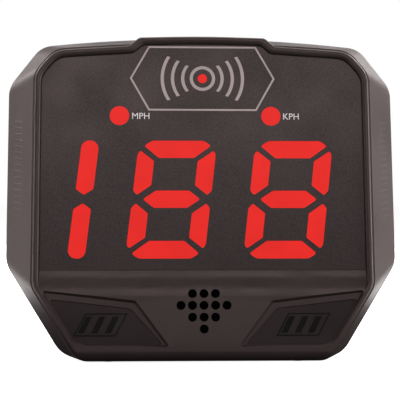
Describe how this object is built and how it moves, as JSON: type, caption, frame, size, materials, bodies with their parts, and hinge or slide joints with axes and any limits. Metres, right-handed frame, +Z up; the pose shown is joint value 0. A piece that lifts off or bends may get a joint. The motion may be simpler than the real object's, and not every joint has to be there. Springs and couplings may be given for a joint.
{
  "type": "speed radar display",
  "caption": "Free-standing handheld-size speed radar with a large segmented red number display, a grille, rear buttons, a battery bay and a tripod socket.",
  "frame": {"origin": "centre of the footprint, on the plane the rubber feet stand on", "axes": "+Z up, +X along the width towards the viewer's right, -Y out of the display"},
  "size_m": [0.21, 0.0741, 0.1738],
  "materials": {
    "housing": "fine-grain moulded polycarbonate blend",
    "window": "smoked acrylic, lightly frosted",
    "red_lens": "diffusing red acrylic",
    "black_plastic": "matt moulded",
    "inlay": "satin with screen-printed bars",
    "circuit_board": "solder mask",
    "led_package": "moulded",
    "gold_plate": "gold-plated copper",
    "tin_shield": "tin-plated sheet",
    "chip": "moulded epoxy",
    "capacitor_can": "plain can",
    "brass": "turned",
    "screw_steel": "zinc plated",
    "cloth": "woven acoustic cloth",
    "cone": "pressed paper",
    "frame_steel": "black lacquer",
    "ferrite": "sintered",
    "rubber": "moulded",
    "key_rubber": "moulded silicone",
    "door": "fine-grain moulded polycarbonate blend",
    "cell_wrap": "printed sleeve on a steel can",
    "nickel": "nickel plated"
  },
  "bodies": {
    "housing": {"front_shell": "housing", "rear_shell": "housing", "display_window": "window", "hundreds_lens": "red_lens", "tens_lens": "red_lens", "units_lens": "red_lens", "mph_lens": "red_lens", "kph_lens": "red_lens", "aim_lens": "red_lens", "light_well_block": "black_plastic", "display_board": "circuit_board", "segment_leds": "led_package", "radar_board": "circuit_board", "radar_patches": "gold_plate", "radar_shield": "tin_shield", "aim_led": "led_package", "grille_cloth": "cloth", "speaker_frame": "frame_steel", "speaker_cone": "cone", "speaker_magnet": "ferrite", "right_inlay": "inlay", "left_inlay": "inlay", "standoffs": "brass", "main_board": "circuit_board", "main_chips": "chip", "capacitors": "capacitor_can", "board_screws": "screw_steel", "case_seal": "rubber", "case_screws": "screw_steel", "battery_tray": "black_plastic", "cell_1": "cell_wrap", "cell_2": "cell_wrap", "cell_3": "cell_wrap", "cell_4": "cell_wrap", "battery_springs": "nickel", "battery_contacts": "nickel", "door_hinge_pin": "screw_steel", "key_switches": "black_plastic", "key_board": "circuit_board", "key_screws": "screw_steel", "dc_jack": "black_plastic", "tripod_insert": "brass", "rubber_feet": "rubber"},
    "battery_door": {"battery_door": "door"},
    "jack_cover": {"jack_cover": "rubber"},
    "power_button": {"power_button": "key_rubber", "power_plunger": "rubber"},
    "units_button": {"units_button": "key_rubber", "units_plunger": "rubber"},
    "mode_button": {"mode_button": "key_rubber", "mode_plunger": "rubber"}
  },
  "joints": [
    {"name": "door_hinge", "type": "hinge", "parent": "housing", "child": "battery_door", "pos_m": [0, 0.03453, 0.01102], "axis": [-1, 0, 0], "range_deg": [0, 90]},
    {"name": "jack_cover_hinge", "type": "hinge", "parent": "housing", "child": "jack_cover", "pos_m": [-0.058, 0.03337, 0.04763], "axis": [1, 0, 0], "range_deg": [0, 100]},
    {"name": "power_press", "type": "slide", "parent": "housing", "child": "power_button", "axis": [0, -0.9976, -0.0698], "range_m": [0, 0.0008], "stiffness_N_per_m": 800},
    {"name": "units_press", "type": "slide", "parent": "housing", "child": "units_button", "axis": [0, -0.9976, -0.0698], "range_m": [0, 0.0008], "stiffness_N_per_m": 800},
    {"name": "mode_press", "type": "slide", "parent": "housing", "child": "mode_button", "axis": [0, -0.9976, -0.0698], "range_m": [0, 0.0008], "stiffness_N_per_m": 800}
  ]
}
